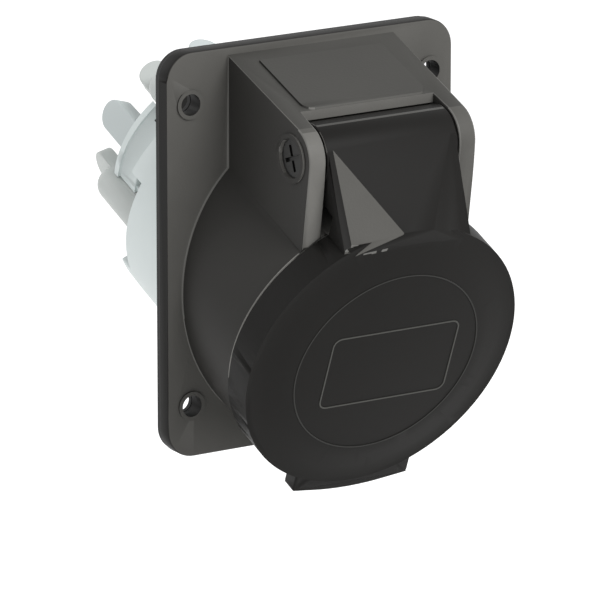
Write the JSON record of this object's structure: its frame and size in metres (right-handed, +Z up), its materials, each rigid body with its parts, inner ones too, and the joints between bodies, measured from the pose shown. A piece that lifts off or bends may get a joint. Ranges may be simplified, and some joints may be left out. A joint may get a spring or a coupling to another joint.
{
  "type": "industrial panel socket",
  "caption": "Inclined round socket on a flat rectangular flange, with a sprung hinged lid, pin contacts and a lever-terminal block behind the panel.",
  "frame": {"origin": "middle of the four panel screws, on the panel's surface, which is the back face of the flange gasket", "axes": "+Z up, -Y out of the panel towards the user, +X to the right seen from the front; the socket's own axis leans 22 degrees down from -Y"},
  "size_m": [0.0914, 0.1362, 0.1237],
  "materials": {
    "black_polyamide": "fine satin, slightly worn",
    "black_insert": "satin",
    "pale_polyamide": "smooth satin",
    "lever_polyamide": "smooth satin",
    "seal_rubber": "matt",
    "steel": "plain zinc plated",
    "contact_brass": "plain"
  },
  "bodies": {
    "socket": {"housing": "black_polyamide", "flange_gasket": "seal_rubber", "hinge_pin": "steel", "pin_cap": "black_polyamide", "lid_spring": "steel", "contact_insert": "black_insert", "insert_base": "black_insert", "rear_sleeve": "pale_polyamide", "sleeve_seal": "seal_rubber", "terminal_body": "pale_polyamide", "carrier_screws": "steel", "contact_1": "contact_brass", "contact_2": "contact_brass", "contact_3": "contact_brass", "contact_4": "contact_brass", "contact_5": "contact_brass", "contact_clip_1": "steel", "contact_clip_2": "steel", "contact_clip_3": "steel", "contact_clip_4": "steel", "contact_clip_5": "steel", "blade_1": "contact_brass", "blade_2": "contact_brass", "blade_3": "contact_brass", "blade_4": "contact_brass", "blade_5": "contact_brass"},
    "lid": {"lid": "black_polyamide", "lid_gasket": "seal_rubber"},
    "lever_1": {"lever_1": "lever_polyamide"},
    "lever_2": {"lever_2": "lever_polyamide"},
    "lever_3": {"lever_3": "lever_polyamide"},
    "lever_4": {"lever_4": "lever_polyamide"},
    "lever_5": {"lever_5": "lever_polyamide"}
  },
  "joints": [
    {"name": "lid_hinge", "type": "hinge", "parent": "socket", "child": "lid", "pos_m": [0, -0.0396, 0.033], "axis": [-1, 0, 0], "range_deg": [0, 95], "stiffness_Nm_per_rad": 0.05, "springref_deg": -51.57, "deforming": ["lid_spring"]},
    {"name": "lever_1_pivot", "type": "hinge", "parent": "socket", "child": "lever_1", "pos_m": [0.01558, 0.02766, 0.02642], "axis": [0.809, 0.2202, -0.545], "range_deg": [0, 45]},
    {"name": "lever_2_pivot", "type": "hinge", "parent": "socket", "child": "lever_2", "pos_m": [-0.01558, 0.02766, 0.02642], "axis": [0.809, -0.2202, 0.545], "range_deg": [0, 45]},
    {"name": "lever_3_pivot", "type": "hinge", "parent": "socket", "child": "lever_3", "pos_m": [-0.0252, 0.03875, -0.00105], "axis": [-0.309, -0.3563, 0.8818], "range_deg": [0, 45]},
    {"name": "lever_4_pivot", "type": "hinge", "parent": "socket", "child": "lever_4", "pos_m": [0, 0.04561, -0.01803], "axis": [-1, 0, 0], "range_deg": [0, 45]},
    {"name": "lever_5_pivot", "type": "hinge", "parent": "socket", "child": "lever_5", "pos_m": [0.0252, 0.03875, -0.00105], "axis": [-0.309, 0.3563, -0.8818], "range_deg": [0, 45]}
  ]
}
